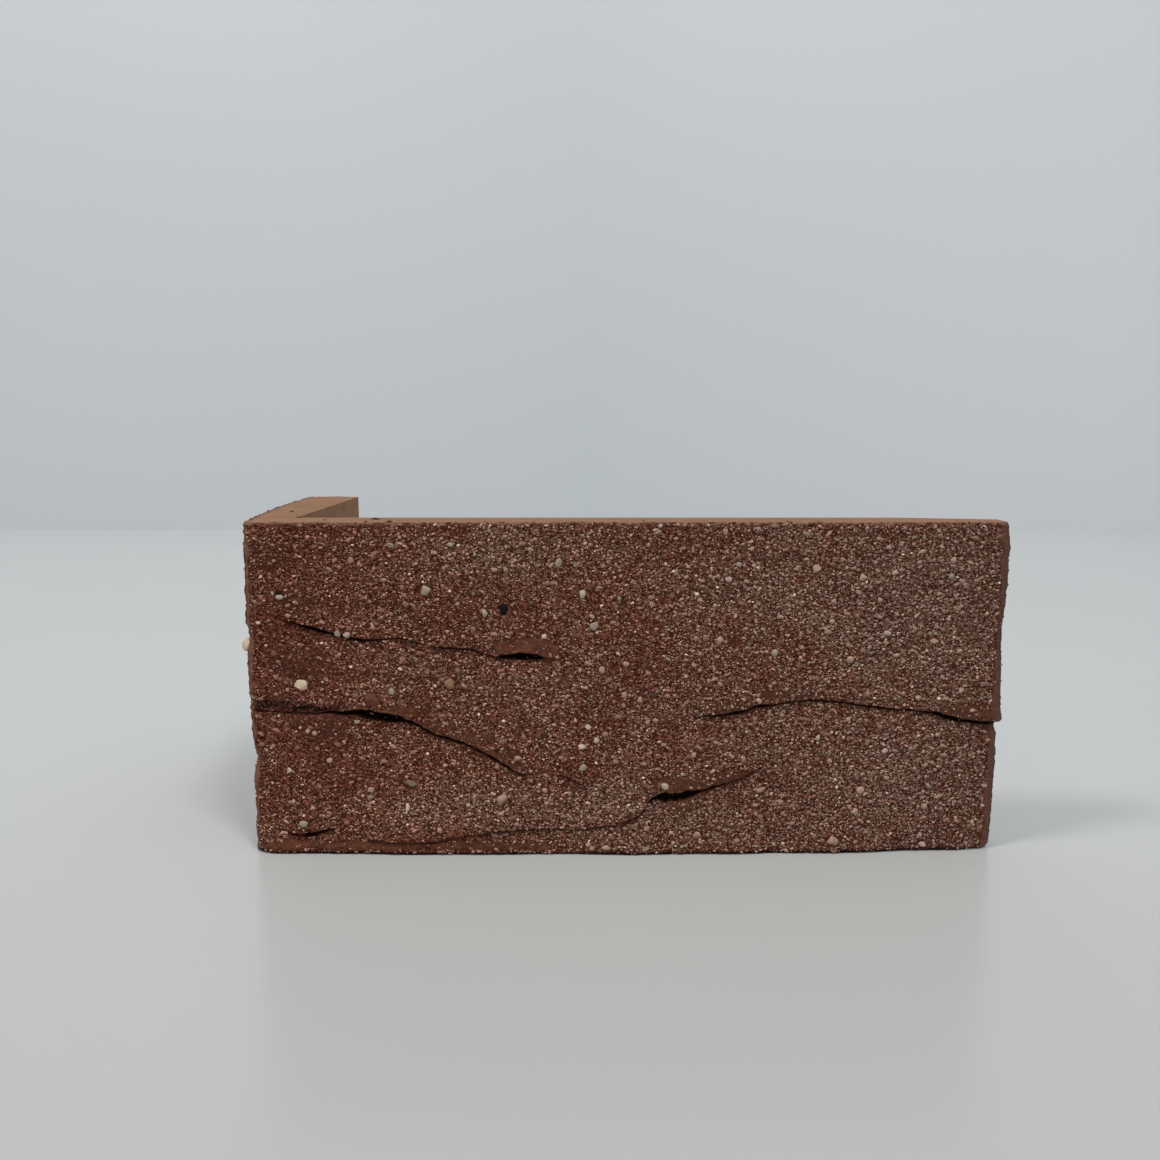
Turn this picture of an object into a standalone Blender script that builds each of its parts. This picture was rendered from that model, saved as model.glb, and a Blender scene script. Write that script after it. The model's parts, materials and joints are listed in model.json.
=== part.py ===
import math

import bmesh
import bpy

# Sizes in metres. The long face looks along -Y, the return runs along +Y
# from the left end, and the piece stands on its lower cut bed.
FACE_LENGTH = 0.1458
RETURN_LENGTH = 0.0700
HEIGHT = 0.0652

# Thickness of the long leg, and of its free end, where the back has been
# dressed away over the taper's length.
THICKNESS = 0.0102
END_THICKNESS = 0.0064
END_TAPER = 0.0190

# Thickness of the return where it leaves the corner. Further out its outer
# face leans and bellies outward, so it grows thicker.
RETURN_THICKNESS = 0.0078
RETURN_FLARE = 0.0054
RETURN_BELLY = 0.0010

# Rounding of the natural vertical arrises and of the lower edge, and the
# broken inner corner at the return's far end.
END_ARRIS = 0.0022
CORNER_ARRIS = 0.0016
FAR_ARRIS = 0.0052
LOWER_ROUND = 0.0009
FAR_CHIP_WIDTH = 0.0030
FAR_CHIP_DEPTH = 0.0022

# The natural skin rolls gently in and out between the arrises. Each wave
# has its turns along the face, up the height, its start and its share.
ROLL_DEPTH = 0.00030
ROLL_WAVES = ((9.0, 5.3, 0.4, 1.0), (23.0, -7.1, 1.9, 0.7), (41.0, 13.0, 0.0, 0.5))
ROLL_CALM = 0.08
ROLL_CALM_TOP = 0.33

# Folded clay creases: how far the gap runs in, how much it climbs behind
# the overhanging upper lip, and how wide it is at its mouth. A shallow
# crease keeps a share of the mouth, and one that runs over an arris or
# onto the free end keeps a share of its depth.
CREASE_DEPTH = 0.0032
CREASE_CLIMB = 0.0009
CREASE_GAP = 0.0020
SHALLOW_MOUTH = 0.2
DEPTH_ON_ARRIS = 0.5
DEPTH_ON_END = 0.2

# The clay above a crease laps forward and the clay below is set back, each
# dying away with distance.
LAP_HEIGHT = 0.0008
LAP_REACH = 0.0055
SET_BACK = 0.0005
SET_REACH = 0.0040
LAP_ON_RETURN = 0.7

# Spacing of the mesh rows and columns, the rows between neighbouring
# creases, and the room that the rows beside a crease may take of a gap.
CREASE_ROW = 0.0020
FACE_STEP = 0.0016
RETURN_STEP = 0.0034
ARRIS_SIDES = 4
END_SIDES = 3
LOWER_SIDES = 2
BAND_ROWS = (1, 4, 3, 4)
NEAR_ROOM = 0.15
FAR_ROOM = 0.25

# Each crease is a line of points: the share of the long face's length from
# the corner (below 0 is on the return), the share of the height, and the
# share of the full depth there. Creases that follow one another along the
# slip share one set of mesh rows.
RETURN_LOW = (
    (-0.47, 0.110, 0.00),
    (-0.28, 0.125, 0.45),
    (-0.12, 0.090, 0.00),
)
CORNER_NICK = (
    (0.035, 0.047, 0.00),
    (0.055, 0.047, 0.60),
    (0.080, 0.051, 0.65),
    (0.105, 0.060, 0.40),
    (0.130, 0.045, 0.00),
)
FOOT_FOLD = (
    (0.149, 0.031, 0.00),
    (0.158, 0.027, 0.30),
    (0.209, 0.018, 0.30),
    (0.250, 0.024, 0.35),
    (0.325, 0.056, 0.30),
    (0.438, 0.060, 0.25),
    (0.489, 0.080, 0.30),
    (0.500, 0.082, 0.00),
    (1.080, 0.078, 0.00),
)
RETURN_MIDDLE = (
    (-0.47, 0.360, 0.00),
    (-0.30, 0.372, 0.25),
    (-0.12, 0.432, 0.60),
)
LONG_FOLD = (
    (-0.030, 0.455, 0.30),
    (0.054, 0.449, 0.30),
    (0.094, 0.448, 0.40),
    (0.127, 0.441, 0.70),
    (0.153, 0.431, 0.95),
    (0.180, 0.418, 1.00),
    (0.206, 0.404, 0.80),
    (0.234, 0.372, 0.65),
    (0.293, 0.323, 0.60),
    (0.335, 0.268, 0.65),
    (0.357, 0.241, 0.35),
    (0.368, 0.234, 0.00),
)
SHORT_NICK = (
    (0.415, 0.229, 0.00),
    (0.430, 0.218, 0.50),
    (0.447, 0.203, 0.30),
    (0.460, 0.190, 0.00),
)
RISING_FOLD = (
    (0.490, 0.090, 0.00),
    (0.508, 0.097, 0.35),
    (0.530, 0.127, 0.45),
    (0.538, 0.151, 0.60),
    (0.549, 0.166, 0.80),
    (0.558, 0.167, 1.00),
    (0.578, 0.172, 0.90),
    (0.602, 0.187, 0.70),
    (0.629, 0.203, 0.45),
    (0.656, 0.224, 0.30),
    (0.699, 0.277, 0.00),
    (1.080, 0.240, 0.00),
)
RETURN_UPPER = (
    (-0.47, 0.580, 0.00),
    (-0.33, 0.612, 0.65),
    (-0.20, 0.640, 0.00),
)
UPPER_FOLD = (
    (0.045, 0.714, 0.00),
    (0.064, 0.700, 0.45),
    (0.078, 0.690, 0.60),
    (0.134, 0.658, 0.60),
    (0.187, 0.656, 0.20),
    (0.253, 0.629, 0.30),
    (0.298, 0.625, 0.35),
    (0.330, 0.602, 0.40),
    (0.342, 0.602, 0.80),
    (0.374, 0.604, 1.00),
    (0.395, 0.598, 0.40),
    (0.409, 0.596, 0.00),
)
END_FOLD = (
    (0.590, 0.414, 0.00),
    (0.609, 0.420, 0.30),
    (0.664, 0.442, 0.55),
    (0.674, 0.453, 0.95),
    (0.690, 0.455, 0.60),
    (0.757, 0.470, 0.50),
    (0.826, 0.449, 0.50),
    (0.886, 0.437, 0.50),
    (0.912, 0.432, 0.65),
    (0.929, 0.420, 0.85),
    (0.972, 0.403, 0.70),
    (1.080, 0.400, 0.25),
)
CREASES = (
    RETURN_LOW + CORNER_NICK + FOOT_FOLD,
    RETURN_MIDDLE + LONG_FOLD + SHORT_NICK + RISING_FOLD,
    RETURN_UPPER + UPPER_FOLD + END_FOLD,
)

# Outward swell of the two front arrises up the height: share of the
# height, and distance.
CORNER_SWELL = (
    (0.00, -0.0001),
    (0.17, -0.0001),
    (0.23, 0.0001),
    (0.30, -0.0005),
    (0.37, 0.0004),
    (0.42, 0.0004),
    (0.46, 0.0000),
    (1.00, 0.0001),
)
END_SWELL = (
    (0.00, 0.0001),
    (0.04, 0.0004),
    (0.385, 0.0000),
    (0.404, 0.0010),
    (0.57, 0.0002),
    (0.66, -0.0003),
    (0.81, 0.0006),
    (0.94, 0.0006),
    (1.00, -0.0001),
)
SWELL_REACH = 0.0070
SWELL_REACH_BACK = 0.0210

# How far the foot of the long face stands forward of its upper edge along
# the face: share of the length, and distance. The shift holds over the
# front part of an arris and fades out behind it.
FOOT_HOLD = 2.0
FOOT_LINE = (
    (0.00, 0.0012),
    (0.03, 0.0020),
    (0.10, 0.0027),
    (0.52, 0.0032),
    (0.60, 0.0029),
    (0.74, 0.0019),
    (0.87, 0.0012),
    (0.95, -0.0002),
    (1.00, -0.0010),
)

FRONT_SIDES = ("face", "corner_arris", "end_arris")
LEFT_SIDES = ("face", "corner_arris", "return", "far")


def clear_scene():
    for item in list(bpy.data.objects):
        bpy.data.objects.remove(item, do_unlink=True)


def along_line(points, place, index):
    """Value of a line of points at one place, straight between points."""
    if place <= points[0][0]:
        return points[0][index]
    for left, right in zip(points, points[1:]):
        if place <= right[0]:
            share = (place - left[0]) / (right[0] - left[0])
            return left[index] + (right[index] - left[index]) * share
    return points[-1][index]


def outer_path():
    """Plan points of the outer skin with their outward directions.

    The walk starts at the back of the free end, turns round the front and
    finishes at the inner side of the return's far end.  Each entry also
    carries its place along the long face, as a share of the face's length,
    and a name for the side.
    """
    half = FACE_LENGTH / 2.0
    entries = []

    def place(x, y, nx, ny, along, side):
        entries.append((x, y, nx, ny, along / FACE_LENGTH, side))

    for step in range(END_SIDES):
        share = step / END_SIDES
        y = END_THICKNESS + (END_ARRIS - END_THICKNESS) * share
        place(half, y, 1.0, 0.0, FACE_LENGTH + y, "end")
    for step in range(ARRIS_SIDES):
        angle = 0.5 * math.pi * step / ARRIS_SIDES
        nx = math.cos(angle)
        ny = -math.sin(angle)
        x = half - END_ARRIS + END_ARRIS * nx
        y = END_ARRIS + END_ARRIS * ny
        along = FACE_LENGTH + END_ARRIS * (1.0 - 2.0 * step / ARRIS_SIDES)
        place(x, y, nx, ny, along, "end_arris")
    flat = FACE_LENGTH - END_ARRIS - CORNER_ARRIS
    count = round(flat / FACE_STEP)
    for step in range(count):
        x = half - END_ARRIS - flat * step / count
        place(x, 0.0, 0.0, -1.0, x + half, "face")
    for step in range(ARRIS_SIDES):
        angle = 0.5 * math.pi * step / ARRIS_SIDES
        nx = -math.sin(angle)
        ny = -math.cos(angle)
        x = -half + CORNER_ARRIS + CORNER_ARRIS * nx
        y = CORNER_ARRIS + CORNER_ARRIS * ny
        along = CORNER_ARRIS * (1.0 - 2.0 * step / ARRIS_SIDES)
        place(x, y, nx, ny, along, "corner_arris")
    run = RETURN_LENGTH - CORNER_ARRIS - FAR_ARRIS
    count = round(run / RETURN_STEP)
    for step in range(count):
        y = CORNER_ARRIS + run * step / count
        place(-half, y, -1.0, 0.0, -y, "return")
    for step in range(ARRIS_SIDES + 1):
        angle = 0.5 * math.pi * step / (ARRIS_SIDES + 1)
        nx = -math.cos(angle)
        ny = math.sin(angle)
        x = -half + FAR_ARRIS + FAR_ARRIS * nx
        y = RETURN_LENGTH - FAR_ARRIS + FAR_ARRIS * ny
        place(x, y, nx, ny, -y, "far")
    inner = -half + RETURN_THICKNESS
    chip = inner - FAR_CHIP_WIDTH
    start = min(-half + FAR_ARRIS, chip)
    if chip > start:
        place(start, RETURN_LENGTH, 0.0, 1.0, -RETURN_LENGTH, "far")
    place(chip, RETURN_LENGTH, 0.0, 1.0, -RETURN_LENGTH, "far")
    last = RETURN_LENGTH - FAR_CHIP_DEPTH
    place(inner, last, 0.0, 1.0, -RETURN_LENGTH, "far")
    return entries


def lean_out(x, y):
    """Move a plan point outward where the return flares and bellies."""
    half = FACE_LENGTH / 2.0
    inner = -half + RETURN_THICKNESS
    if x >= inner:
        return x
    share = min(1.0, max(0.0, y / RETURN_LENGTH))
    weight = min(1.0, (inner - x) / RETURN_THICKNESS)
    push = RETURN_FLARE * share + RETURN_BELLY * math.sin(math.pi * share)
    return x - push * weight


def crease_rows(u):
    """Mesh rows of one column: height, and the crease they lie in."""
    lines = [LOWER_ROUND]
    halves = [0.0]
    for crease in CREASES:
        depth = along_line(crease, u, 2)
        mouth = SHALLOW_MOUTH + (1.0 - SHALLOW_MOUTH) * depth * depth
        lines.append(along_line(crease, u, 1) * HEIGHT)
        halves.append(0.5 * CREASE_GAP * mouth)
    lines.append(HEIGHT)
    halves.append(0.0)
    rows = []
    for step in range(LOWER_SIDES + 1):
        angle = 0.5 * math.pi * step / LOWER_SIDES
        rows.append((LOWER_ROUND * (1.0 - math.cos(angle)), None))
    last = len(lines) - 2
    for number in range(len(lines) - 1):
        low = lines[number]
        high = lines[number + 1]
        gap = high - low
        first = low
        if number > 0:
            near = min(halves[number], NEAR_ROOM * gap)
            far = near + min(CREASE_ROW, FAR_ROOM * gap)
            rows.append((low + near, None))
            rows.append((low + far, None))
            first = low + far
        end = high
        if number < last:
            near = min(halves[number + 1], NEAR_ROOM * gap)
            far = near + min(CREASE_ROW, FAR_ROOM * gap)
            end = high - far
        for fill in range(BAND_ROWS[number]):
            share = (fill + 1) / (BAND_ROWS[number] + 1)
            rows.append((first + (end - first) * share, None))
        if number < last:
            rows.append((high - far, None))
            rows.append((high - near, None))
            rows.append((high, CREASES[number]))
        else:
            rows.append((high, None))
    return rows


def lap_relief(u, z):
    """Clay laps forward above each crease and is set back below it."""
    total = 0.0
    for crease in CREASES:
        centre = along_line(crease, u, 1) * HEIGHT
        depth = along_line(crease, u, 2)
        rise = z - centre
        if rise >= 0.0:
            total += depth * LAP_HEIGHT * math.exp(-rise / LAP_REACH)
        else:
            total -= depth * SET_BACK * math.exp(rise / SET_REACH)
    return total


def roll_relief(u, z):
    share = z / HEIGHT
    amount = 0.0
    for turns, climb, start, weight in ROLL_WAVES:
        amount += weight * math.sin(turns * u + climb * share + start)
    calm = min(1.0, abs(u) / ROLL_CALM) * min(1.0, abs(1.0 - u) / ROLL_CALM)
    return ROLL_DEPTH * amount * calm * min(1.0, (1.0 - share) / ROLL_CALM_TOP)


def foot_inset(z):
    """How far the rounded lower edge stands back at a height."""
    drop = max(0.0, 1.0 - z / LOWER_ROUND)
    return LOWER_ROUND * (1.0 - math.sqrt(1.0 - drop * drop))


def skin_point(entry, z, crease):
    """One point of the outer skin, with its relief and swell."""
    x, y, nx, ny, u, side = entry
    half = FACE_LENGTH / 2.0
    share = z / HEIGHT
    lap = lap_relief(u, z)
    push = roll_relief(u, z) - foot_inset(z)
    push += lap if side in FRONT_SIDES else LAP_ON_RETURN * lap
    height = z
    if crease is not None:
        depth = along_line(crease, u, 2)
        if side in ("corner_arris", "end_arris"):
            depth *= DEPTH_ON_ARRIS
        if side == "end":
            depth *= DEPTH_ON_END
        push -= CREASE_DEPTH * depth
        height += CREASE_CLIMB * depth
    px = x + nx * push
    py = y + ny * push
    if side in FRONT_SIDES:
        foot = along_line(FOOT_LINE, min(1.0, max(0.0, u)), 1)
        py -= foot * (1.0 - share) ** 2 * min(1.0, -ny * FOOT_HOLD)
    end_near = min(1.0, max(0.0, 1.0 - (half - x) / SWELL_REACH))
    px += along_line(END_SWELL, share, 1) * end_near
    if side in LEFT_SIDES:
        corner_near = max(0.0, 1.0 - (x + half) / SWELL_REACH)
        corner_near *= max(0.0, 1.0 - y / SWELL_REACH_BACK)
        px -= along_line(CORNER_SWELL, share, 1) * min(1.0, corner_near)
    return px, py, height


def build_slip():
    path = outer_path()
    half = FACE_LENGTH / 2.0
    inner = -half + RETURN_THICKNESS
    last = len(path) - 1

    mesh = bmesh.new()
    columns = []
    for number, entry in enumerate(path):
        x, y, nx, ny, u, side = entry
        column = []
        for z, crease in crease_rows(u):
            if number in (0, last):
                point = (x, y, z)
            else:
                px, py, pz = skin_point(entry, z, crease)
                if side in ("corner_arris", "return", "far"):
                    px = lean_out(px, py)
                point = (px, py, pz)
            column.append(mesh.verts.new(point))
        columns.append(column)

    # The cut inner faces stand straight: the corner, then the place where
    # the dressed back of the free end begins.
    levels = [vert.co.z for vert in columns[-1]]
    corner = [mesh.verts.new((inner, THICKNESS, z)) for z in levels]
    levels = [vert.co.z for vert in columns[0]]
    taper_x = half - END_TAPER
    taper = [mesh.verts.new((taper_x, THICKNESS, z)) for z in levels]
    columns.append(corner)
    columns.append(taper)

    rows = len(columns[0])
    natural = set()
    for number, column in enumerate(columns):
        following = columns[(number + 1) % len(columns)]
        for row in range(rows - 1):
            quad = (
                following[row],
                column[row],
                column[row + 1],
                following[row + 1],
            )
            made = mesh.faces.new(quad)
            if number < last:
                natural.add(made)

    # Each cut bed is laid in two fields that meet on the mitre line.
    sides = [entry[5] for entry in path]
    turn = sides.index("corner_arris") + ARRIS_SIDES // 2
    long_field = columns[: turn + 1] + [corner, taper]
    return_field = columns[turn : last + 1] + [corner]
    for field in (long_field, return_field):
        mesh.faces.new([column[0] for column in field])
        mesh.faces.new([column[-1] for column in reversed(field)])
    for face in natural:
        face.smooth = True
    mesh.normal_update()
    bmesh.ops.triangulate(mesh, faces=list(mesh.faces))
    bmesh.ops.recalc_face_normals(mesh, faces=list(mesh.faces))
    return mesh


def clay_material():
    material = bpy.data.materials.new("fired_clay")
    material.use_nodes = True
    shader = material.node_tree.nodes["Principled BSDF"]
    shader.inputs["Base Color"].default_value = (0.17, 0.085, 0.06, 1.0)
    shader.inputs["Roughness"].default_value = 0.9
    shader.inputs["Metallic"].default_value = 0.0
    return material


def main():
    clear_scene()
    mesh = build_slip()
    xs = [vert.co.x for vert in mesh.verts]
    ys = [vert.co.y for vert in mesh.verts]
    shift_x = -0.5 * (min(xs) + max(xs))
    shift_y = -0.5 * (min(ys) + max(ys))
    for vert in mesh.verts:
        vert.co.x += shift_x
        vert.co.y += shift_y
    data = bpy.data.meshes.new("corner_brick_slip")
    mesh.to_mesh(data)
    mesh.free()
    data.materials.append(clay_material())
    slip = bpy.data.objects.new("corner_brick_slip", data)
    bpy.context.scene.collection.objects.link(slip)


main()
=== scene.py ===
import json
import math

import bmesh
import bpy
import numpy as np
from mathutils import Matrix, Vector


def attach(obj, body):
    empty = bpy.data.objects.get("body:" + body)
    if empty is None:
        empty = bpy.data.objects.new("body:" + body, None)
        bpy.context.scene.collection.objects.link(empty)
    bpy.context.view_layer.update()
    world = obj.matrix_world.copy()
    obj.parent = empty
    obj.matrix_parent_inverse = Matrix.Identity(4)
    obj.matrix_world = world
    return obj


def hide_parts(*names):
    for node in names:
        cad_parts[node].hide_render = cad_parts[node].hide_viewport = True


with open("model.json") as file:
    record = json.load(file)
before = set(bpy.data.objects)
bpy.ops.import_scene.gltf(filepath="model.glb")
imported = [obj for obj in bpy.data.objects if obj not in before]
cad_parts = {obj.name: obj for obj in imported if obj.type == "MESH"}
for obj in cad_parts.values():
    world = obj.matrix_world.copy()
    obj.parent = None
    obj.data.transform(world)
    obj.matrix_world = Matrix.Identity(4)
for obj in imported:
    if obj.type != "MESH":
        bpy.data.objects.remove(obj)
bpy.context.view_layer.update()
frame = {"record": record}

# The driving sizes of the slip, in metres, as its frame has them. The long
# face looks along -Y and the return runs along +Y from the left end.
FACE_LENGTH = 0.1458
RETURN_LENGTH = 0.0700
HEIGHT = 0.0652
THICKNESS = 0.0102
END_THICKNESS = 0.0064
END_TAPER = 0.0190
RETURN_THICKNESS = 0.0078
RETURN_FLARE = 0.0054
RETURN_BELLY = 0.0010
END_ARRIS = 0.0022
CORNER_ARRIS = 0.0016
FAR_ARRIS = 0.0052
LOWER_ROUND = 0.0009
FAR_CHIP_WIDTH = 0.0030
FAR_CHIP_DEPTH = 0.0022
ROLL_DEPTH = 0.00030
ROLL_WAVES = ((9.0, 5.3, 0.4, 1.0), (23.0, -7.1, 1.9, 0.7), (41.0, 13.0, 0.0, 0.5))
CREASE_DEPTH = 0.0032
CREASE_CLIMB = 0.0009
CREASE_WANDER = 0.00013
HOLLOW_DEPTH = 0.0008
LAP_HEIGHT = 0.0008
LAP_REACH = 0.0055
SET_BACK = 0.0005
SET_REACH = 0.0040
SWELL_REACH = 0.0070
SWELL_REACH_BACK = 0.0210
ARRIS_REACH = 0.0035

# Each crease is a line of points: the share of the long face's length from
# the corner (below 0 is on the return), the share of the height, and the
# width of its dark mouth in millimetres. Creases that follow one another
# along the slip share one set of mesh rows.
RETURN_LOW = (
    (-0.47, 0.11, 0), (-0.36, 0.118, 0), (-0.28, 0.125, 0.6), (-0.2, 0.11, 0.3),
    (-0.12, 0.09, 0),
)
CORNER_NICK = (
    (0.047, 0.064, 0), (0.055, 0.062, 0.5), (0.067, 0.059, 0.9), (0.077, 0.061, 0.95),
    (0.091, 0.067, 0.75), (0.105, 0.075, 0.6), (0.113, 0.077, 0),
)
FOOT_FOLD = (
    (0.153, 0.048, 0), (0.162, 0.044, 0.3), (0.185, 0.037, 0.32), (0.212, 0.036, 0.32),
    (0.232, 0.037, 0.42), (0.253, 0.042, 0.42), (0.268, 0.051, 0.22), (0.326, 0.073, 0.32),
    (0.402, 0.08, 0.32), (0.438, 0.077, 0.22), (0.468, 0.087, 0.3), (0.488, 0.094, 0.26),
    (0.493, 0.095, 0), (1.08, 0.089, 0),
)
RETURN_MIDDLE = (
    (-0.47, 0.36, 0), (-0.38, 0.365, 0), (-0.3, 0.372, 0.5), (-0.12, 0.432, 1),
)
LONG_FOLD = (
    (-0.03, 0.44, 0.3), (0.001, 0.439, 0.12), (0.021, 0.437, 0.24), (0.055, 0.433, 0.15),
    (0.096, 0.43, 0.3), (0.115, 0.433, 0.7), (0.128, 0.433, 1.05), (0.141, 0.432, 1.45),
    (0.154, 0.428, 1.95), (0.168, 0.423, 2.2), (0.181, 0.419, 2.2), (0.194, 0.416, 1.9),
    (0.207, 0.41, 1.15), (0.219, 0.401, 0.85), (0.235, 0.381, 0.85), (0.251, 0.362, 0.72),
    (0.272, 0.35, 0.72), (0.294, 0.333, 0.75), (0.315, 0.306, 0.78), (0.336, 0.278, 0.82),
    (0.358, 0.249, 0.4), (0.369, 0.24, 0),
)
SHORT_NICK = (
    (0.413, 0.243, 0), (0.421, 0.236, 0.42), (0.431, 0.228, 0.42), (0.442, 0.215, 0.3),
    (0.45, 0.205, 0),
)
RISING_FOLD = (
    (0.489, 0.099, 0), (0.495, 0.099, 0.42), (0.507, 0.106, 0.42), (0.521, 0.12, 0.42),
    (0.529, 0.151, 0.48), (0.537, 0.173, 0.9), (0.548, 0.18, 1.65), (0.554, 0.179, 2.55),
    (0.568, 0.179, 2.5), (0.577, 0.183, 2.2), (0.588, 0.189, 1.85), (0.6, 0.198, 1.45),
    (0.614, 0.207, 1.05), (0.627, 0.214, 0.7), (0.654, 0.235, 0.29), (0.686, 0.274, 0.18),
    (0.697, 0.28, 0), (1.08, 0.24, 0),
)
RETURN_UPPER = (
    (-0.47, 0.58, 0), (-0.4, 0.592, 0.3), (-0.33, 0.612, 1), (-0.2, 0.64, 0),
)
UPPER_FOLD = (
    (0.045, 0.714, 0), (0.055, 0.707, 0.22), (0.064, 0.7, 0.5), (0.078, 0.69, 0.7),
    (0.097, 0.679, 0.72), (0.117, 0.668, 0.62), (0.134, 0.658, 0.72), (0.152, 0.652, 0.68),
    (0.168, 0.652, 0.42), (0.187, 0.656, 0.2), (0.205, 0.658, 0.32), (0.226, 0.646, 0.32),
    (0.236, 0.639, 0), (0.245, 0.633, 0), (0.253, 0.629, 0.32), (0.275, 0.626, 0.42),
    (0.298, 0.625, 0.42), (0.313, 0.613, 0.3), (0.33, 0.602, 0.42), (0.342, 0.602, 1.05),
    (0.358, 0.605, 1.7), (0.374, 0.604, 1.75), (0.385, 0.6, 1.1), (0.395, 0.598, 0.32),
    (0.409, 0.596, 0),
)
END_FOLD = (
    (0.59, 0.419, 0), (0.601, 0.422, 0.24), (0.609, 0.425, 0.5), (0.63, 0.43, 0.66),
    (0.651, 0.436, 0.66), (0.664, 0.444, 0.75), (0.672, 0.453, 1), (0.681, 0.455, 0.8),
    (0.69, 0.456, 0.58), (0.715, 0.464, 0.44), (0.757, 0.471, 0.42), (0.792, 0.462, 0.32),
    (0.826, 0.449, 0.5), (0.865, 0.44, 0.42), (0.886, 0.437, 0.42), (0.912, 0.431, 0.72),
    (0.929, 0.419, 1), (0.951, 0.408, 0.85), (0.972, 0.4, 0.68), (1, 0.399, 0.62),
    (1.08, 0.397, 0.4),
)
CREASES = (
    RETURN_LOW + CORNER_NICK + FOOT_FOLD,
    RETURN_MIDDLE + LONG_FOLD + SHORT_NICK + RISING_FOLD,
    RETURN_UPPER + UPPER_FOLD + END_FOLD,
)

# A mouth this wide, in millimetres, runs in to the full depth.
FULL_MOUTH = 1.5

# Outward swell of the two front arrises up the height, and how far the foot
# of the long face stands forward along it: share and millimetres.
CORNER_SWELL = (
    (0, -0.1), (0.17, -0.3), (0.23, 0), (0.285, -1), (0.35, -0.2), (0.42, 0.2),
    (0.46, 0), (0.56, 0.3), (0.61, 0.2), (0.66, -0.5), (0.7, 0.3), (0.76, 0),
    (1, -0.1),
)
END_SWELL = (
    (0, 0.3), (0.06, 0.4), (0.12, 0.6), (0.36, 0.6), (0.39, 0.1), (0.404, 0.9),
    (0.57, 0.4), (0.66, 0), (0.81, 0.8), (0.94, 0.8), (1, 0.2),
)
FOOT_LINE = (
    (0, 1.2), (0.025, 2.1), (0.1, 2.6), (0.34, 3), (0.4, 3.3), (0.52, 3.2),
    (0.6, 2.9), (0.74, 2.1), (0.85, 1), (0.95, 0.7), (1, -0.6),
)

# Mesh fineness of the dressed skin: its columns, and the rows below, between
# and above the creases.
FACE_CELL = 0.00042
RETURN_CELL = 0.00080
END_COLUMNS = 14
ARRIS_COLUMNS = 10
FAR_COLUMNS = 12
BAND_ROWS = (16, 42, 36, 66)
ROW_GATHER = 0.55
LEAST_BAND = 0.0002

# The slot of a crease in section, from its lower lip up: place in half
# mouths, share of the climb, and share of the depth, which also sets the
# painted shade on that row.
SLOT_ROWS = ((-0.90, 0.05, 0.80), (0.10, 0.60, 1.00), (0.95, 0.85, 0.50))

# Fine relief of the skin in layers: its height on bare clay, what sand adds,
# the squeeze up the height, the width of the lumps and the random seed.
SKIN_RELIEF = (
    (0.00010, 0.00000, 1.0, 0.00600, 1),
    (0.00004, 0.00006, 1.0, 0.00240, 2),
    (0.00003, 0.00009, 1.6, 0.00095, 3),
    (0.00003, 0.00006, 1.5, 0.00055, 4),
)

# Where the clay was wiped and took little sand: share of the length, share
# of the height, the half widths along and up in millimetres, and the sand left.
SMOOTH_PATCHES = (
    (0.372, 0.634, 5.4, 1.4, 0.1), (0.4, 0.608, 1.6, 1.2, 0.2), (0.209, 0.44, 4.2, 1.2, 0.22),
    (0.251, 0.389, 3.4, 1, 0.4), (0.289, 0.354, 4.4, 0.9, 0.35), (0.331, 0.307, 4.4, 0.9, 0.3),
    (0.361, 0.274, 2.6, 0.8, 0.35), (0.102, 0.391, 5.6, 2, 0.68), (0.071, 0.577, 5.6, 2.6, 0.7),
    (0.064, 0.775, 3, 1.8, 0.75), (0.03, 0.9, 4.6, 2.4, 0.8), (0.574, 0.218, 4.4, 1.1, 0.33),
    (0.628, 0.24, 4.4, 0.9, 0.4), (0.574, 0.147, 2.4, 1.1, 0.33), (0.639, 0.452, 4, 0.8, 0.55),
    (0.714, 0.484, 4.2, 0.7, 0.48), (0.96, 0.435, 5.2, 1.2, 0.3), (0.986, 0.394, 2.2, 0.8, 0.38),
    (0.154, 0.029, 11, 0.8, 0.1), (0.044, 0.031, 5, 1, 0.1), (0.322, 0.028, 13, 0.7, 0.25),
)

# Where the skin is dusted with fine grey sand (below 0) or shows redder clay
# with less sand (above 0): share of the length, share of the height, the half
# widths along and up in millimetres, and how much.
TONE_PATCHES = (
    (0.041, 0.621, 10, 12, 0.7), (0.062, 0.306, 12, 11, 0.7), (0.06, 0.9, 11, 6, 0.5),
    (0.56, 0.562, 12, 6, 0.3), (0.48, 0.366, 10, 5, 0.15), (0.689, 0.335, 11, 7, 0.15),
    (0.728, 0.139, 9, 5, 0.05), (0.33, 0.9, 16, 5, -0.9), (0.272, 0.143, 18, 4.5, -1),
    (0.47, 0.144, 12, 5, -0.8), (0.82, 0.78, 18, 11, -0.7), (0.93, 0.6, 8, 10, -0.6),
    (0.899, 0.242, 12, 8, -0.5), (0.62, 0.82, 11, 6, -0.4), (0.231, 0.562, 12, 5, -0.3),
    (0.62, 0.1, 14, 5, -0.5), (0.79, 0.22, 16, 11, -0.45), (0.06, 0.988, 18, 1.6, 0.8),
    (0.18, 0.99, 11, 1.2, 0.6),
)

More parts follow.
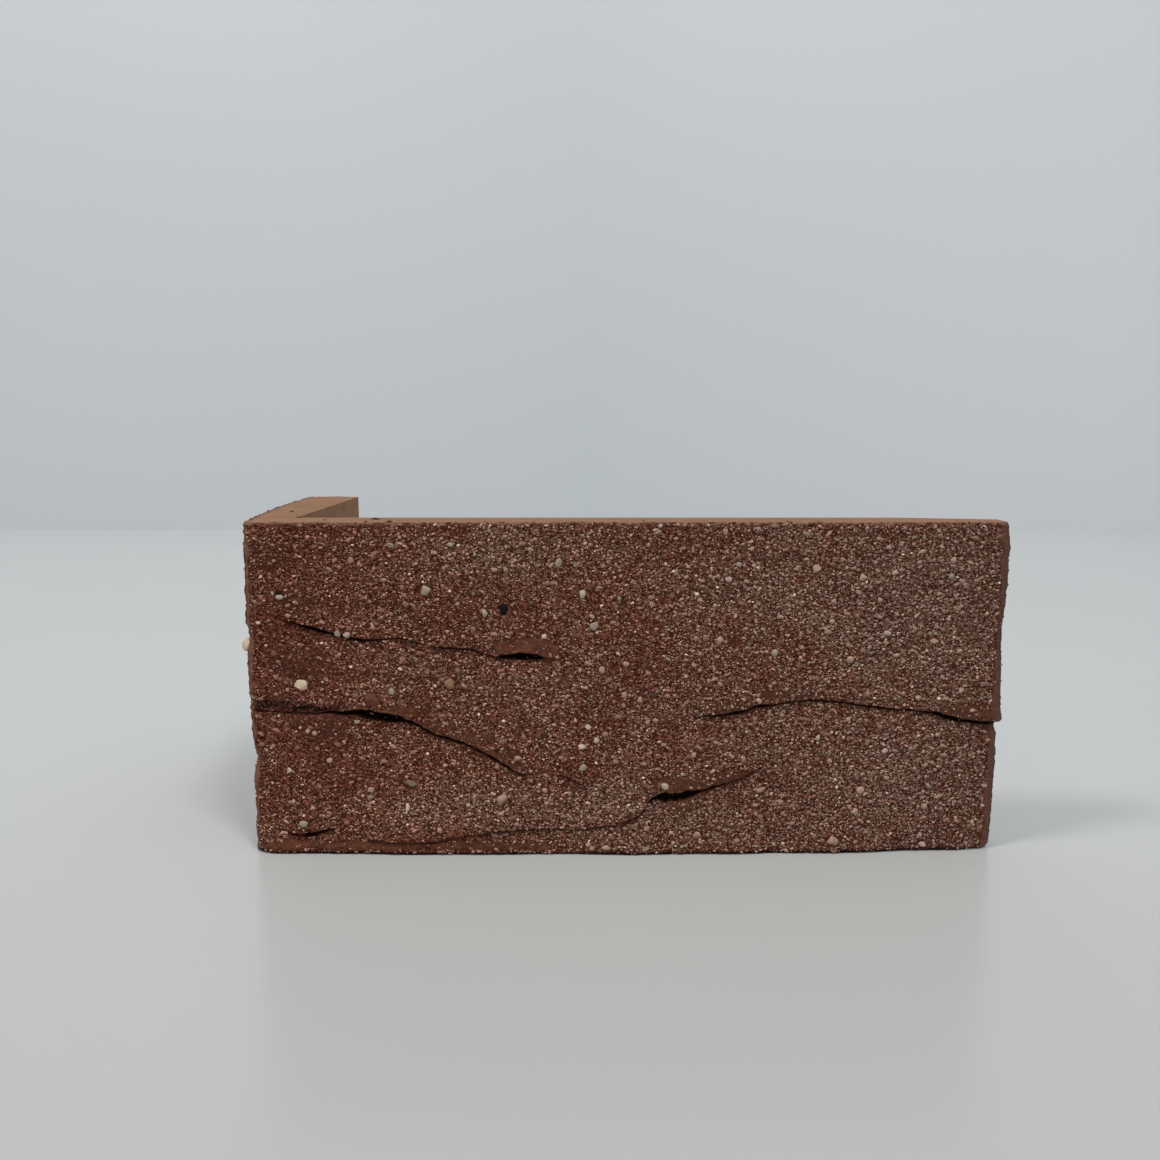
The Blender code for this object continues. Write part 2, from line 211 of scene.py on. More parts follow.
# Stones that can be told apart: share of the length, share of the height,
# width and height in millimetres, and the name of their colour.
STONES = (
    (0.07, 0.514, 2.8, 3, "cream"), (0.046, 0.78, 1.7, 1, "white"),
    # The black stone at the start of the next line is painted shade in the hollow of the broken white
    # stone before it.
    (0.045, 0.793, 1.4, 0.8, "black"), (0.037, 0.791, 0.6, 0.9, "white"),
    (0.054, 0.783, 0.6, 0.9, "pink"), (-0.01, 0.634, 2.4, 2.4, "cream"),
    (0.238, 0.802, 2.7, 2.1, "grey"), (0.212, 0.761, 1.5, 1.5, "umber"),
    (0.444, 0.79, 1.7, 1.7, "white"), (0.315, 0.734, 1.3, 1.7, "white"),
    (0.339, 0.744, 2.2, 2.2, "black"), (0.459, 0.697, 1.7, 1.9, "grey"),
    (0.393, 0.665, 1.2, 1.2, "cream"), (0.412, 0.883, 1.5, 1.9, "grey"),
    (0.492, 0.778, 1.1, 1.1, "green"), (0.635, 0.831, 1.7, 1.3, "white"),
    (0.648, 0.876, 1.3, 1.1, "grey"), (0.586, 0.816, 1.3, 1.3, "rust"),
    (0.545, 0.991, 0.9, 0.8, "white"), (0.565, 0.953, 0.9, 0.9, "pink"),
    (0.749, 0.864, 2.1, 1.7, "pink"), (0.811, 0.84, 1.7, 1.7, "pink"),
    (0.698, 0.614, 1.5, 1.5, "grey"), (0.847, 0.67, 1.5, 1.3, "white"),
    (0.908, 0.649, 1.7, 1.3, "tan"), (0.772, 0.709, 1, 1, "white"),
    (0.954, 0.955, 2.3, 1.1, "umber"), (0.928, 0.89, 1.5, 1.5, "tan"),
    (0.758, 0.356, 1, 1.4, "white"), (0.848, 0.315, 1.4, 1.2, "white"),
    (0.78, 0.041, 2.4, 2.6, "tan"), (0.904, 0.022, 1.8, 1.4, "white"),
    (0.905, 0.142, 1.4, 1.4, "tan"), (0.89, 0.477, 1.4, 1.4, "grey"),
    (0.444, 0.268, 1.8, 1.6, "grey"), (0.442, 0.331, 1.8, 1.4, "cream"),
    (0.336, 0.17, 2.2, 2.4, "tan"), (0.553, 0.213, 1.6, 1.6, "white"),
    (0.597, 0.063, 1.6, 1.6, "tan"), (0.451, 0.034, 1, 1.4, "pink"),
    (0.475, 0.025, 1.8, 1.2, "tan"), (0.577, 0.252, 0.8, 0.8, "white"),
    (0.451, 0.391, 1.2, 1.2, "cream"), (0.47, 0.566, 1.4, 1.5, "tan"),
    (0.501, 0.584, 1.4, 1.4, "tan"), (0.592, 0.309, 1.2, 1.2, "tan"),
    (0.538, 0.485, 1.8, 1.3, "slate"), (0.164, 0.473, 2.9, 2.9, "clay"),
    (0.268, 0.521, 2.3, 2.3, "brown"), (0.143, 0.404, 1.4, 1.2, "grey"),
    (0.052, 0.259, 1.4, 1.4, "white"), (0.209, 0.145, 1, 1.8, "cream"),
    (0.056, 0.164, 1, 1, "white"), (0.07, 0.097, 2, 1.6, "grey"),
    (0.19, 0.497, 1.4, 1.6, "grey"), (0.291, 0.157, 1, 1, "white"),
    (0.214, 0.218, 2, 1.8, "umber"), (0.121, 0.674, 1.2, 1.5, "grey"),
    (0.133, 0.671, 1.5, 1.2, "grey"), (0.052, 0.502, 1, 1, "tan"),
    (0.078, 0.379, 1.2, 1.2, "pink"), (0.087, 0.373, 1.2, 1.2, "tan"),
    (0.462, 0.349, 1.2, 1.4, "white"), (0.52, 0.474, 1.4, 1.4, "tan"),
    (0.598, 0.772, 1.1, 1.1, "tan"), (0.54, 0.413, 1.2, 1.2, "pink"),
    (0.677, 0.473, 1.2, 1.2, "pink"), (0.798, 0.593, 1.5, 1.5, "tan"),
    (0.834, 0.772, 1.3, 1.1, "tan"), (0.625, 0.653, 1.3, 1.3, "pink"),
    (0.681, 0.197, 1.6, 1.2, "tan"), (0.732, 0.472, 1.4, 1.2, "tan"),
    (0.817, 0.194, 1.6, 1.6, "pink"), (0.946, 0.5, 1.4, 1.2, "tan"),
    (0.14, 0.89, 1.3, 1.3, "tan"), (0.193, 0.934, 1.5, 1.1, "grey"),
    (0.271, 0.934, 1.3, 1.1, "grey"), (0.106, 0.291, 1.2, 1.2, "pink"),
    (0.16, 0.199, 1.4, 1.2, "tan"), (0.252, 0.078, 1.4, 1.2, "tan"),
    (0.36, 0.079, 1.4, 1.4, "grey"), (0.393, 0.2, 1.4, 1.2, "pink"),
    (0.52, 0.653, 1.5, 1.3, "rust"),
)

# Linear colours of the stones.
TINTS = {
    "cream": (0.66, 0.51, 0.38),
    "white": (0.51, 0.41, 0.335),
    "grey": (0.40, 0.310, 0.250),
    "umber": (0.26, 0.160, 0.110),
    "black": (0.006, 0.006, 0.008),
    "green": (0.34, 0.35, 0.27),
    "rust": (0.150, 0.055, 0.036),
    "clay": (0.170, 0.057, 0.040),
    "pink": (0.50, 0.310, 0.250),
    "tan": (0.46, 0.280, 0.210),
    "slate": (0.088, 0.056, 0.046),
    "brown": (0.32, 0.175, 0.110),
}

# Dark specks on the upper bed, in millimetres: place along and back from
# the middle of the long face, width and depth.
BED_SPECKS = (
    (-69.8, 23.9, 1.2, 1.0), (-64.6, 10.0, 1.3, 0.8), (-58.3, 5.0, 0.9, 0.7),
    (-48.7, 6.1, 2.2, 1.0), (-49.6, 1.4, 0.9, 0.7), (-44.8, 0.6, 2.0, 0.8),
    (-27.0, 2.4, 0.8, 0.6), (3.5, 3.8, 0.7, 0.6), (31.0, 1.6, 0.9, 0.6),
)

# Loose sand pressed into the skin: name, pitch of the scatter, mean, least and
# greatest size, and the level of the grain's shape.
SAND = (
    ("coarse", 0.00190, 0.00074, 0.00052, 0.00130, 1),
    ("middle", 0.00080, 0.00044, 0.00028, 0.00070, 1),
    ("fine", 0.00055, 0.00029, 0.00018, 0.00044, 0),
)
SAND_SPREAD = 0.26

# Stretches of the skin: name, share of the length, and how much wider the
# scatter's pitch is there.
SAND_REGIONS = (
    ("near_corner", (0.0, 0.5), 1.00),
    ("near_end", (0.5, 1.0), 1.00),
    ("on_return", (-0.497, 0.0), 1.35),
    ("on_end", (1.006, 1.043), 1.35),
)

# Linear colours of sand for each grain size: dull and light ends of the
# common range, then the shares of pale and dark grains.
SAND_COLOURS = {
    "coarse": ((0.190, 0.078, 0.052), (0.500, 0.300, 0.225), 0.006, 0.03),
    "middle": ((0.150, 0.054, 0.036), (0.620, 0.365, 0.270), 0.030, 0.10),
    "fine": ((0.200, 0.080, 0.054), (0.850, 0.555, 0.425), 0.150, 0.05),
}
GREY_SAND = (0.330, 0.225, 0.172)
PALE_SAND = (0.845, 0.660, 0.505)
DARK_SAND = (0.040, 0.011, 0.007)
MIDDLE_SAND = (0.330, 0.190, 0.140)

# How the sand's red, green and blue change: in redder patches, towards the
# free end, in its last stretch, and at the corner.
REDDER = (0.23, 0.28, 0.29)
GREYER = (0.00, 0.20, 0.28)
DARKER_LATE = (0.16, 0.10, 0.08)
LIGHTER_CORNER = (0.08, 0.20, 0.26)

# Crumbs along the upper rim and specks on the bed.
FRONT_CRUMBS = 190
SIDE_CRUMBS = 120
LIGHT_CRUMB = (0.330, 0.180, 0.128)
DARK_CRUMB = (0.066, 0.026, 0.017)
BED_SPECK_COLOUR = (0.060, 0.026, 0.018)

# Sides that are broken off a stone, and how far round its middle no sand
# lies, as a share of its width.
STONE_SIDES = 9
STONE_REACH = 0.56

# Linear colours of the clay from one end of its range to the other.
SANDY_CLAY = ((0.10, (0.192, 0.096, 0.064)), (0.45, (0.176, 0.060, 0.036)), (0.90, (0.174, 0.047, 0.028)))
BARE_CLAY = ((0.30, (0.118, 0.039, 0.022)), (0.52, (0.174, 0.063, 0.036)), (0.75, (0.224, 0.092, 0.053)))
CUT_CLAY = ((0.30, (0.215, 0.108, 0.058)), (0.55, (0.250, 0.130, 0.071)), (0.80, (0.285, 0.155, 0.088)))

# Stage: a pale table that meets a pale wall, and two lamps. The table's tones
# carry painted shade towards the viewer and the wall's carry painted light
# that is strongest towards the right.
TABLE_NEAR = -1.6
WALL_Y = 0.585
WALL_TOP = 1.8
STAGE_HALF = 2.4
TABLE_SHADE_TONES = ((0.0, (0.440, 0.450, 0.444)), (0.25, (0.535, 0.545, 0.545)), (1.0, (0.612, 0.636, 0.640)))
WALL_LIGHT_TONES = ((0.0, (0.588, 0.610, 0.640)), (0.50, (0.556, 0.592, 0.625)), (1.0, (0.655, 0.676, 0.712)))
LAMPS = (("lamp_left", (-0.69, -0.34, 1.12), 6.0), ("lamp_right", (0.31, -0.55, 1.12), 5.1))
LAMP_SIZE = 0.24
LAMP_AIM = (0.0, 0.0, 0.02)

# The camera, found from the photograph's vanishing lines.
FOCAL_MM = 31.87
SENSOR_MM = 36.0
CAMERA_BACK = 0.1937
CAMERA_LEFT = 0.0087
CAMERA_HEIGHT = 0.0838
CAMERA_PITCH_DEG = 8.69

MOUNTS = {m["name"]: m["pos_m"] for m in frame["record"]["mounts"]}
HALF = FACE_LENGTH / 2.0
MIDDLE_X = MOUNTS["back_return"][0] + HALF - RETURN_THICKNESS
FRONT_Y = MOUNTS["back_long"][1] - THICKNESS


def unit(values):
    """Values held between 0 and 1."""
    return np.clip(values, 0.0, 1.0)


def direction(vectors):
    """The way that vectors point, one long each."""
    return vectors / (np.linalg.norm(vectors, axis=-1, keepdims=True) + 1e-12)


def line_value(points, places, index=1):
    """Values of a line of points at an array of places."""
    return np.interp(places, [p[0] for p in points], [p[index] for p in points])


def soft_noise(a, b, cell, seed):
    """Smooth random field from -1 to 1 whose lumps are one cell wide."""
    table = np.random.default_rng(seed).uniform(-1.0, 1.0, (256, 256))
    fa = np.asarray(a) / cell + 1000.5
    fb = np.asarray(b) / cell + 1000.5
    ia = np.floor(fa).astype(int)
    ib = np.floor(fb).astype(int)
    ta = fa - ia
    tb = fb - ib
    ta = ta * ta * (3.0 - 2.0 * ta)
    tb = tb * tb * (3.0 - 2.0 * tb)
    low = table[ia % 256, ib % 256] * (1.0 - ta)
    low += table[(ia + 1) % 256, ib % 256] * ta
    high = table[ia % 256, (ib + 1) % 256] * (1.0 - ta)
    high += table[(ia + 1) % 256, (ib + 1) % 256] * ta
    return low * (1.0 - tb) + high * tb


def noise_sum(a, b, *layers, start=0.0):
    """Soft noises added up, each given by its weight, cell and seed."""
    for weight, cell, seed in layers:
        start = start + weight * soft_noise(a, b, cell, seed)
    return start


def plan_columns():
    """The outer skin's plan, column by column, from the free end's back
    round the front to the return's inner far corner."""
    parts = []

    def add(x, y, nx, ny, along, lap, crack, foot, leans):
        row = (x, y, nx, ny, along / FACE_LENGTH, lap, crack, foot, leans)
        parts.append(np.array(np.broadcast_arrays(*row)))

    def arris(radius, middle, start, nx, ny, leans):
        along = start + radius * (1.0 - 2.0 * share)
        foot = np.minimum(1.0, -2.0 * ny)
        add(middle + radius * nx, radius + radius * ny, nx, ny, along, 1.0, 0.5, foot, leans)

    share = np.arange(END_COLUMNS) / END_COLUMNS
    y = END_THICKNESS + (END_ARRIS - END_THICKNESS) * share
    add(HALF, y, 1.0, 0.0, FACE_LENGTH + y, 0.7, 0.2, 0.0, 0)

    share = np.arange(ARRIS_COLUMNS) / ARRIS_COLUMNS
    sin = np.sin(0.5 * math.pi * share)
    cos = np.cos(0.5 * math.pi * share)
    arris(END_ARRIS, HALF - END_ARRIS, FACE_LENGTH, cos, -sin, 0)

    flat = FACE_LENGTH - END_ARRIS - CORNER_ARRIS
    count = round(flat / FACE_CELL)
    x = HALF - END_ARRIS - flat * np.arange(count) / count
    add(x, 0.0, 0.0, -1.0, x + HALF, 1.0, 1.0, 1.0, 0)

    arris(CORNER_ARRIS, -HALF + CORNER_ARRIS, 0.0, -sin, -cos, 1)

    run = RETURN_LENGTH - CORNER_ARRIS - FAR_ARRIS
    count = round(run / RETURN_CELL)
    y = CORNER_ARRIS + run * np.arange(count) / count
    add(-HALF, y, -1.0, 0.0, -y, 0.7, 1.0, 0.0, 1)

    angle = 0.5 * math.pi * np.arange(FAR_COLUMNS) / FAR_COLUMNS
    nx = -np.cos(angle)
    ny = np.sin(angle)
    x = -HALF + FAR_ARRIS + FAR_ARRIS * nx
    y = RETURN_LENGTH - FAR_ARRIS + FAR_ARRIS * ny
    add(x, y, nx, ny, -y, 0.7, 1.0, 0.0, 1)

    inner = -HALF + RETURN_THICKNESS
    chip = inner - FAR_CHIP_WIDTH
    x = np.append(np.sort([-HALF + FAR_ARRIS, chip]), np.linspace(chip, inner, 5)[1:])
    drop = unit((x - chip) / FAR_CHIP_WIDTH) * FAR_CHIP_DEPTH
    add(x, RETURN_LENGTH - drop, 0.0, 1.0, x[0] - x - RETURN_LENGTH, 0.7, 0.3, 0.0, 1)

    names = ("x", "y", "nx", "ny", "u", "lap", "crack", "foot", "leans")
    return dict(zip(names, np.concatenate(parts, axis=1)))


def spaced(count):
    """Shares from 0 to 1, gathered towards both ends."""
    share = np.linspace(0.0, 1.0, count)
    return share - ROW_GATHER * np.sin(2.0 * math.pi * share) / (2.0 * math.pi)


def crease_depth(mouth):
    """Share of the full depth that a crease of a mouth width reaches."""
    return np.sqrt(unit(mouth / FULL_MOUTH))


def crease_lines(u):
    """Centre, depth and half mouth of each crease at every column."""
    along = u * FACE_LENGTH
    lines = []
    for number, crease in enumerate(CREASES):
        wander = noise_sum(along, 0.0, (1.0, 0.0024, 40 + number), (0.6, 0.0009, 50 + number))
        centre = line_value(crease, u) * HEIGHT + CREASE_WANDER * wander
        ragged = noise_sum(along, 0.0, (0.28, 0.0015, 60 + number), (0.22, 0.0007, 70 + number))
        breaks = unit(0.9 * soft_noise(along, 0.0, 0.0030, 30 + number))
        mouth = line_value(crease, u, 2)
        thin = unit(1.5 - 2.2 * mouth)
        mouth = np.maximum(mouth * (1.0 + ragged) * (1.0 - thin * breaks), 0.0)
        lines.append((centre, crease_depth(mouth), 0.0005 * mouth))
    return lines


def skin_rows(u, crack):
    """Height of every mesh row, its depth in a crease and the painted shade on it there."""
    level = 0.0 * u
    lines = crease_lines(u)
    edges = [(level, level, level), *lines, (HEIGHT + level, level, level)]
    rows = []
    for number, count in enumerate(BAND_ROWS):
        low = edges[number][0] + edges[number][2]
        high = edges[number + 1][0] - edges[number + 1][2]
        high = np.maximum(high, low + LEAST_BAND)
        rows += [(low + (high - low) * share, level, level) for share in spaced(count)]
        if number < len(lines):
            centre, depth, half = lines[number]
            inward = depth * crack
            for place, climb, share in SLOT_ROWS:
                height = centre + place * half + climb * CREASE_CLIMB * inward
                # Painted shade on a crease's floor follows its depth; the lower lip of a wide mouth,
                # which catches light, gets less.
                lit = unit((half - 0.0006) / 0.0003) * (place < 0.0)
                rows.append((height, share * inward, share * inward * (1.0 - 0.45 * lit)))
    return np.moveaxis(np.array(rows), 1, 0)


def lap_relief(u, z):
    """Clay that stands out above each crease and lies back below it."""
    total = 0.0 * z
    for crease in CREASES:
        rise = z - line_value(crease, u) * HEIGHT
        depth = crease_depth(line_value(crease, u, 2))
        above = LAP_HEIGHT * np.exp(-np.maximum(rise, 0.0) / LAP_REACH)
        below = -SET_BACK * np.exp(np.minimum(rise, 0.0) / SET_REACH)
        total = total + 0.8 * depth * np.where(rise >= 0.0, above, below)
    return total


def roll_relief(u, z):
    """Long shallow waves of the whole skin, calm at both arrises."""
    share = z / HEIGHT
    amount = 0.0 * share
    for turns, climb, start, weight in ROLL_WAVES:
        amount = amount + weight * np.sin(turns * u + climb * share + start)
    calm = np.minimum(1.0, np.abs(u) / 0.08)
    calm *= np.minimum(1.0, np.abs(1.0 - u) / 0.08)
    return ROLL_DEPTH * amount * calm * np.minimum(1.0, 3.0 * (1.0 - share))


def bed_loss(along, z):
    """How far the skin is rounded at its foot and chipped along its rim."""
    ragged = noise_sum(along, 0.0, (0.35, 0.0021, 6), (0.25, 0.0009, 7), start=1.0)
    lower = unit(1.0 - z / (LOWER_ROUND * ragged))
    loss = LOWER_ROUND * (1.0 - np.sqrt(1.0 - lower**2))
    chip = noise_sum(along, 0.0, (0.35, 0.0026, 5), (0.30, 0.0008, 15), start=0.5)
    loss += (0.00012 + 0.00034 * chip) * unit(1.0 - (HEIGHT - z) / (0.00020 + 0.00040 * chip))
    gap = noise_sum(along, 0.0, (1.0, 0.0042, 93), (0.4, 0.0011, 94))
    gap = np.clip(gap - 0.45, 0.0, 0.6)
    return loss + 0.0013 * gap * unit(1.0 - (HEIGHT - z) / (0.0002 + 0.0018 * gap))


def arris_relief(along, z):
    """Lumps and breaks along the two upright arrises."""
    end_close = unit(1.0 - np.abs(FACE_LENGTH - along) / ARRIS_REACH)
    turn_close = unit(1.0 - np.abs(along) / ARRIS_REACH)
    relief = 0.00028 * end_close * (np.abs(soft_noise(0.0, z, 0.0021, 8)) - 0.5)
    relief += 0.00012 * end_close * soft_noise(along, z, 0.0008, 9)
    relief += 0.00016 * turn_close * soft_noise(0.0, z, 0.0018, 18)
    return relief + 0.00014 * turn_close * soft_noise(along, z, 0.0007, 19)


def hollow_share(u, z):
    """The shaded hollow in which the middle crease starts at the corner."""
    tall = np.interp(u, (0.0, 0.05, 0.10), (0.0013, 0.0014, 0.0009))
    centre = line_value(CREASES[1], u) * HEIGHT + 0.8 * tall
    reach = np.interp(u, (0.0, 0.012, 0.10, 0.14), (0.1, 1.0, 1.0, 0.0))
    ragged = 1.0 + 0.45 * soft_noise(u * FACE_LENGTH, z, 0.0012, 77)
    return reach * np.exp(-(((z - centre) / (tall * ragged)) ** 2))


def spread(u, z, place, level, wide, tall):
    """Square of the distance from a patch's middle, in its half widths,
    which are given in millimetres."""
    across = (u - place) * FACE_LENGTH / (0.001 * wide)
    up = (z - level * HEIGHT) / (0.001 * tall)
    return across**2 + up**2


def tone_field(u, z):
    """Redder, barer clay above 0 and grey dusting of sand below 0."""
    tone = noise_sum(u * FACE_LENGTH, z, (0.30, 0.0090, 81), (0.25, 0.0034, 82))
    tone = tone + 0.50 * (0.34 - unit(u))
    for *patch, amount in TONE_PATCHES:
        tone = tone + amount * np.exp(-spread(u, z, *patch))
    return np.clip(tone, -1.0, 1.0)


def sand_cover(u, z):
    """How much of the surface carries sand, from 0 to 1."""
    along = u * FACE_LENGTH
    wobble = noise_sum(along, z, (1.0, 0.0021, 71), (0.5, 0.0008, 72))
    pinch = 0.0008 * np.exp(-(((z / HEIGHT - 0.70) / 0.09) ** 2))
    from_corner = np.where(along > 0.0, along - 0.0009, -along - 0.0006) - 0.0006 * wobble
    before_end = FACE_LENGTH - along
    from_end = np.where(before_end > 0.0, before_end - 0.0020, -before_end - 0.0011)
    from_end = from_end - 0.00050 * wobble + pinch
    cover = unit(np.minimum(from_corner, from_end) / 0.0004 + 0.5)
    cover *= unit((z - 0.0005 - 0.0004 * wobble) / 0.0005 + 0.5)
    cover *= unit((HEIGHT - z - 0.00030) / 0.0003 + 0.5)
    for crease in CREASES:
        rise = z - line_value(crease, u) * HEIGHT
        mouth = line_value(crease, u, 2)
        reach = 0.00042 * mouth + 0.00022 * np.sqrt(mouth)
        bare = unit((reach * (1.0 + 0.6 * wobble) - np.abs(rise)) / 0.0003)
        cover *= 1.0 - bare * unit(mouth * 4.0)
    for *patch, left in SMOOTH_PATCHES:
        cover *= np.clip((spread(u, z, *patch) - 0.6 + 0.7 * wobble) / 1.1, left, 1.0)
    return cover


def plan_places(cols, push, share):
    """Plan of every point: the walk round the slip, pushed in or out, with
    the foot, the swell of both ends and the lean of the return."""
    px = cols["x"] + cols["nx"] * push
    py = cols["y"] + cols["ny"] * push
    foot = 0.001 * line_value(FOOT_LINE, unit(cols["u"]))
    py = py - foot * (1.0 - share) ** 2 * cols["foot"]
    end_near = unit(1.0 - (HALF - cols["x"]) / SWELL_REACH)
    px = px + 0.001 * line_value(END_SWELL, share) * end_near
    corner_near = unit(1.0 - (cols["x"] + HALF) / SWELL_REACH)
    corner_near = corner_near * unit(1.0 - cols["y"] / SWELL_REACH_BACK)
    px = px - 0.001 * line_value(CORNER_SWELL, share) * corner_near

    back = unit(py / RETURN_LENGTH)
    weight = unit((-HALF + RETURN_THICKNESS - px) / RETURN_THICKNESS)
    lean = RETURN_FLARE * back + RETURN_BELLY * np.sin(math.pi * back)
    px = px - lean * weight * cols["leans"]

    # Both ends of the walk lie on straight cut edges.
    for column in (0, -1):
        px[:, column] = cols["x"][column]
        py[:, column] = cols["y"][column]
    return px, py


def skin_grid():
    """Points of the outer skin as rows by columns, the ways they face, the
    values that the material and sand follow, and the place along the face."""
    cols = plan_columns()
    z, crack, dark = skin_rows(cols["u"], cols["crack"])
    u = np.broadcast_to(cols["u"], z.shape)
    along = u * FACE_LENGTH
    cover = sand_cover(u, z)
    hollow = hollow_share(u, z)

    push = roll_relief(u, z) + cols["lap"] * lap_relief(u, z)
    for bare, sandy, squeeze, cell, seed in SKIN_RELIEF:
        push += (bare + sandy * cover) * soft_noise(along, z * squeeze, cell, seed)
    push += arris_relief(along, z) - bed_loss(along, z) - CREASE_DEPTH * crack
    push -= HOLLOW_DEPTH * hollow * (1.0 + 0.3 * soft_noise(along, z, 0.0007, 16))
    px, py = plan_places(cols, push, unit(z / HEIGHT))
    points = np.stack([px + MIDDLE_X, py + FRONT_Y, z], axis=-1)

    # Painted shade in the hollow at the corner, added to the painted shade of the crease floors.
    fuzz = 0.75 + 0.5 * soft_noise(along, z * 3.4, 0.0014, 17)
    dark = np.maximum(dark, 0.31 * hollow**1.3 * fuzz)
    # Painted contact shade: a dark line along the foot where the slip meets the table.
    under = 0.00085 * (1.0 + 0.5 * soft_noise(along, 0.0, 0.0023, 20))
    dark = np.maximum(dark, 0.30 * unit(2.0 - 2.0 * z / under))
    uneven = unit(0.70 + 0.55 * soft_noise(along, z, 0.0019, 92))
    skin = {
        "sand": cover,
        # The crack values are all painted shade: crease floors, the corner hollow and the foot.
        "crack": dark,
        "tone": tone_field(u, z),
        # The dull values paint shade on the skin round the free end's arris, which turns away from the
        # lamps.
        "dull": unit(1.0 - (FACE_LENGTH - along) / 0.0030),
        "wiped": unit(2.0 - np.abs(along) / 0.0014) * uneven,
    }
    normals = direction(np.cross(np.gradient(points, axis=0), np.gradient(points, axis=1)))
    return points, normals, skin, u


def mesh_object(name, points, faces, smooth=True):
    data = bpy.data.meshes.new(name)
    data.from_pydata(points.tolist(), [], faces)
    if smooth:
        data.shade_smooth()
    data.update()
    made = bpy.data.objects.new(name, data)
    bpy.context.scene.collection.objects.link(made)
    return made


def build_slip(grid, skin_material, cut_material):
    """The whole slip: the natural skin, the two beds and the cut backs."""
    points, normals, skin, u = grid
    rows, count = u.shape
    index = np.arange(rows * count).reshape(rows, count)
    corners = (index[:-1, 1:], index[:-1, :-1], index[1:, :-1], index[1:, 1:])
    faces = np.stack([corner.ravel() for corner in corners], axis=1).tolist()
    skin_faces = len(faces)

    # The cut inner faces: the inner corner and the start of the taper.
    back = FRONT_Y + THICKNESS
    corner_points = [(MIDDLE_X - HALF + RETURN_THICKNESS, back, z) for z in points[:, -1, 2]]
    taper_points = [(MIDDLE_X + HALF - END_TAPER, back, z) for z in points[:, 0, 2]]
    cloud = np.concatenate([points.reshape(-1, 3), corner_points, taper_points])
    corner, end = (rows * count + np.arange(2 * rows)).reshape(2, rows).tolist()
    loops = [index[:, -1].tolist(), corner, end, index[:, 0].tolist()]
    for left, right in zip(loops, loops[1:]):
        for row in range(rows - 1):
            faces.append([right[row], left[row], left[row + 1], right[row + 1]])

    # Each bed is laid in two fields that meet on the mitre line.
    turn = int(np.argmin(np.abs(u[0])))
    for row, flip in ((0, False), (rows - 1, True)):
        long_field = index[row, : turn + 1].tolist() + [corner[row], end[row]]
        return_field = index[row, turn:].tolist() + [corner[row]]
        for field in (long_field, return_field):
            faces.append(field[::-1] if flip else field)

    slip = mesh_object("corner_slip_body", cloud, faces, smooth=False)
    data = slip.data
    data.materials.append(skin_material)
    data.materials.append(cut_material)
    is_cut = np.arange(len(faces)) >= skin_faces
    data.polygons.foreach_set("material_index", is_cut.astype(np.int32))
    data.polygons.foreach_set("use_smooth", ~is_cut)
    spare = np.zeros(2 * rows)
    for name, values in skin.items():
        layer = data.attributes.new(name, "FLOAT", "POINT")
        values = np.concatenate([values.ravel(), spare])
        layer.data.foreach_set("value", values.astype(np.float32))
    data.update()
    return slip


def grain_shape(level):
    """Corners and faces of a unit grain: an octahedron at level 0, or a
    ball of triangles of that level."""
    form = bmesh.new()
    if level == 0:
        bmesh.ops.create_uvsphere(form, u_segments=4, v_segments=2, radius=1.0)
    else:
        bmesh.ops.create_icosphere(form, subdivisions=level, radius=1.0)
    bmesh.ops.triangulate(form, faces=list(form.faces))
    form.verts.index_update()
    points = np.array([v.co for v in form.verts])
    faces = np.array([[v.index for v in face.verts] for face in form.faces])
    form.free()
    return points, faces


def broken(local, rng):
    """Stones with flat broken sides, cut from rounder ones."""
    for side in range(STONE_SIDES):
        facing = direction(rng.normal(0.0, 1.0, (len(local), 1, 3)))
        level = rng.uniform(0.62, 0.92, (len(local), 1, 1))
        over = np.maximum((local * facing).sum(axis=2, keepdims=True) - level, 0.0)
        local = local - over * facing
    return local * 1.10


def scatter_grains(name, material, shape, grains, sink, rough, rng):
    """One mesh of grains set into the skin, each turned by its angle."""
    ball, triangles = shape
    spots, normals, sizes, tints, turn = grains
    number = len(spots)
    side = direction(np.cross([0.0, 0.0, 1.0], normals))
    rise = np.cross(normals, side)
    cos = np.cos(turn)[:, None]
    sin = np.sin(turn)[:, None]
    wide, tall = sizes.T * 0.5
    thick = np.sqrt(wide * tall) * rng.uniform(0.7, 1.0, number)
    local = ball[None] * (1.0 + rough * rng.uniform(-1.0, 1.0, (number, len(ball), 1)))
    round_stones = len(ball) > 12
    if round_stones:
        local = broken(local, rng)
    local = local * np.stack([wide, tall, thick], axis=1)[:, None]
    local[..., 2] -= (sink * thick)[:, None]
    axes = np.stack([side * cos + rise * sin, rise * cos - side * sin, normals], axis=1)
    cloud = spots[:, None] + local @ axes
    starts = (np.arange(number) * len(ball))[:, None, None]
    faces = (triangles[None] + starts).reshape(-1, 3).tolist()
    made = mesh_object(name, cloud.reshape(-1, 3), faces, smooth=round_stones)
    layer = made.data.attributes.new("tint", "FLOAT_COLOR", "POINT")
    colours = np.ones((number * len(ball), 4), np.float32)
    colours[:, :3] = np.repeat(tints, len(ball), axis=0)
    layer.data.foreach_set("color", colours.ravel())
    made.data.materials.append(material)
    return made


